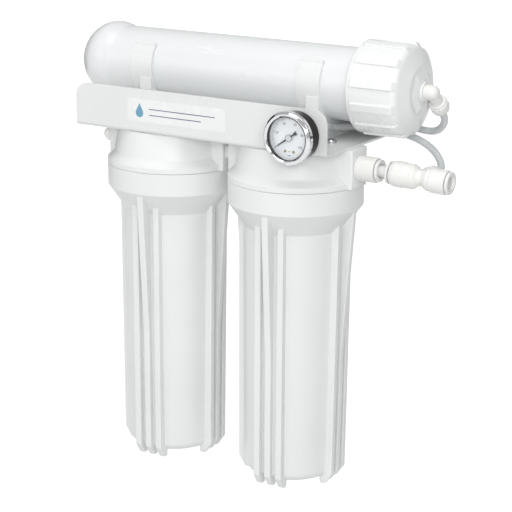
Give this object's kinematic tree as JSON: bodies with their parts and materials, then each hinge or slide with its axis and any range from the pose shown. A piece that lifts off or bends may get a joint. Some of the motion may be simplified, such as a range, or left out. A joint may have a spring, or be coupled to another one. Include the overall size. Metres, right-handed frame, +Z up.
{
  "type": "reverse osmosis unit",
  "caption": "Wall-hung reverse osmosis water filter: ribbed screw-on sumps under a sheet bracket, horizontal membrane housing in clips, dial gauge and push-fit tube fittings.",
  "frame": {"origin": "on the wall plane, midway between the two wall screws", "axes": "+X along the bracket to the inlet tee's end, +Y into the wall, +Z up; the front panel faces -Y"},
  "size_m": [0.3997, 0.1459, 0.3937],
  "materials": {
    "powder_coat": "white powder coat, fine orange peel",
    "housing_white": "white polypropylene, satin, fine mould texture",
    "membrane_white": "cool white polypropylene, satin gloss",
    "cap_white": "white polypropylene, satin gloss",
    "clip_white": "white acetal, satin",
    "fitting_acetal": "natural acetal, warm white, satin gloss",
    "collet_grey": "grey acetal, satin",
    "tube_natural": "natural polyethylene, translucent",
    "stub_natural": "natural polyethylene, 3/8 inch",
    "steel": "zinc-plated steel",
    "chrome": "polished chrome",
    "brass": "machined brass",
    "lens": "clear polycarbonate",
    "dial": "white enamel with printed scale",
    "needle_black": "black paint",
    "seal_rubber": "black nitrile",
    "cartridge_plastic": "white polypropylene",
    "carbon_block": "pressed carbon",
    "polypropylene_depth": "melt-blown polypropylene",
    "element_wrap": "taped spiral-wound element",
    "label_film": null
  },
  "bodies": {
    "root": {"bracket": "powder_coat", "head_screws": "steel", "head_nipple": "fitting_acetal", "left_head": "housing_white", "right_head": "housing_white", "left_membrane_clip": "clip_white", "right_membrane_clip": "clip_white", "clip_screws": "steel", "membrane_housing": "membrane_white", "membrane_cap": "cap_white", "membrane_cap_seal": "seal_rubber", "membrane_roll": "element_wrap", "membrane_core_tube": "cartridge_plastic", "membrane_brine_seal": "seal_rubber", "membrane_core_seal": "seal_rubber", "port_connector": "fitting_acetal", "inlet_tee": "fitting_acetal", "cap_elbow": "fitting_acetal", "outlet_elbow": "fitting_acetal", "gauge_connector": "fitting_acetal", "permeate_connector": "fitting_acetal", "concentrate_connector": "fitting_acetal", "fitting_seals": "seal_rubber", "stub_tube": "stub_natural", "gauge_tube": "tube_natural", "feed_tube": "tube_natural", "gauge_case": "chrome", "gauge_bezel": "chrome", "gauge_lens": "lens", "gauge_dial": "dial", "gauge_stem": "brass", "gauge_bourdon_tube": "brass", "gauge_movement": "brass", "gauge_nut": "brass", "panel_label": "label_film"},
    "left_cartridge": {"left_cartridge_media": "carbon_block", "left_cartridge_core": "cartridge_plastic", "left_cartridge_bottom_cap": "cartridge_plastic", "left_cartridge_top_cap": "cartridge_plastic", "left_cartridge_gaskets": "seal_rubber"},
    "left_sump": {"left_sump": "housing_white", "left_sump_seal": "seal_rubber"},
    "right_cartridge": {"right_cartridge_media": "polypropylene_depth", "right_cartridge_core": "cartridge_plastic", "right_cartridge_bottom_cap": "cartridge_plastic", "right_cartridge_top_cap": "cartridge_plastic", "right_cartridge_gaskets": "seal_rubber"},
    "right_sump": {"right_sump": "housing_white", "right_sump_seal": "seal_rubber"},
    "needle": {"gauge_needle": "needle_black"},
    "connector_collet": {"connector_collet": "collet_grey"},
    "tee_left_collet": {"tee_left_collet": "collet_grey"},
    "tee_right_collet": {"tee_right_collet": "collet_grey"},
    "tee_branch_collet": {"tee_branch_collet": "collet_grey"},
    "cap_elbow_collet": {"cap_elbow_collet": "collet_grey"},
    "outlet_elbow_collet": {"outlet_elbow_collet": "collet_grey"},
    "gauge_connector_collet": {"gauge_connector_collet": "collet_grey"},
    "permeate_collet": {"permeate_collet": "collet_grey"},
    "concentrate_collet": {"concentrate_collet": "collet_grey"}
  },
  "joints": [
    {"name": "left_cartridge_lower", "type": "slide", "parent": "root", "child": "left_cartridge", "axis": [0, 0, -1], "range_m": [0, 0.012]},
    {"name": "left_sump_unscrew", "type": "hinge", "parent": "left_cartridge", "child": "left_sump", "pos_m": [-0.06415, -0.076, -0.068], "axis": [0, 0, -1], "range_deg": [0, 1080]},
    {"name": "right_cartridge_lower", "type": "slide", "parent": "root", "child": "right_cartridge", "axis": [0, 0, -1], "range_m": [0, 0.012]},
    {"name": "right_sump_unscrew", "type": "hinge", "parent": "right_cartridge", "child": "right_sump", "pos_m": [0.06415, -0.076, -0.068], "axis": [0, 0, -1], "range_deg": [0, 1080]},
    {"name": "gauge_needle_turn", "type": "hinge", "parent": "root", "child": "needle", "pos_m": [0.0943, -0.1406, -0.0186], "axis": [0, 1, 0], "range_deg": [0, 250], "stiffness_Nm_per_rad": 0.0004},
    {"name": "connector_collet_press", "type": "slide", "parent": "root", "child": "connector_collet", "axis": [-1, 0, 0], "range_m": [0, 0.001]},
    {"name": "tee_left_collet_press", "type": "slide", "parent": "root", "child": "tee_left_collet", "axis": [0.9992, 0, -0.0401], "range_m": [0, 0.001]},
    {"name": "tee_right_collet_press", "type": "slide", "parent": "root", "child": "tee_right_collet", "axis": [-0.9992, 0, 0.0401], "range_m": [0, 0.001]},
    {"name": "tee_branch_collet_press", "type": "slide", "parent": "root", "child": "tee_branch_collet", "axis": [0.0028, -0.9976, 0.0697], "range_m": [0, 0.001]},
    {"name": "cap_elbow_collet_press", "type": "slide", "parent": "root", "child": "cap_elbow_collet", "axis": [0, -0.7507, 0.6606], "range_m": [0, 0.001]},
    {"name": "outlet_elbow_collet_press", "type": "slide", "parent": "root", "child": "outlet_elbow_collet", "axis": [0, -0.9397, -0.342], "range_m": [0, 0.001]},
    {"name": "gauge_connector_collet_press", "type": "slide", "parent": "root", "child": "gauge_connector_collet", "axis": [0, -1, 0], "range_m": [0, 0.001]},
    {"name": "permeate_collet_press", "type": "slide", "parent": "root", "child": "permeate_collet", "axis": [1, 0, 0], "range_m": [0, 0.001]},
    {"name": "concentrate_collet_press", "type": "slide", "parent": "root", "child": "concentrate_collet", "axis": [1, 0, 0], "range_m": [0, 0.001]}
  ],
  "couplings": [
    {"joint": "left_cartridge_lower", "follows": "left_sump_unscrew", "m_per_rad": 0.000636},
    {"joint": "right_cartridge_lower", "follows": "right_sump_unscrew", "m_per_rad": 0.000636}
  ]
}
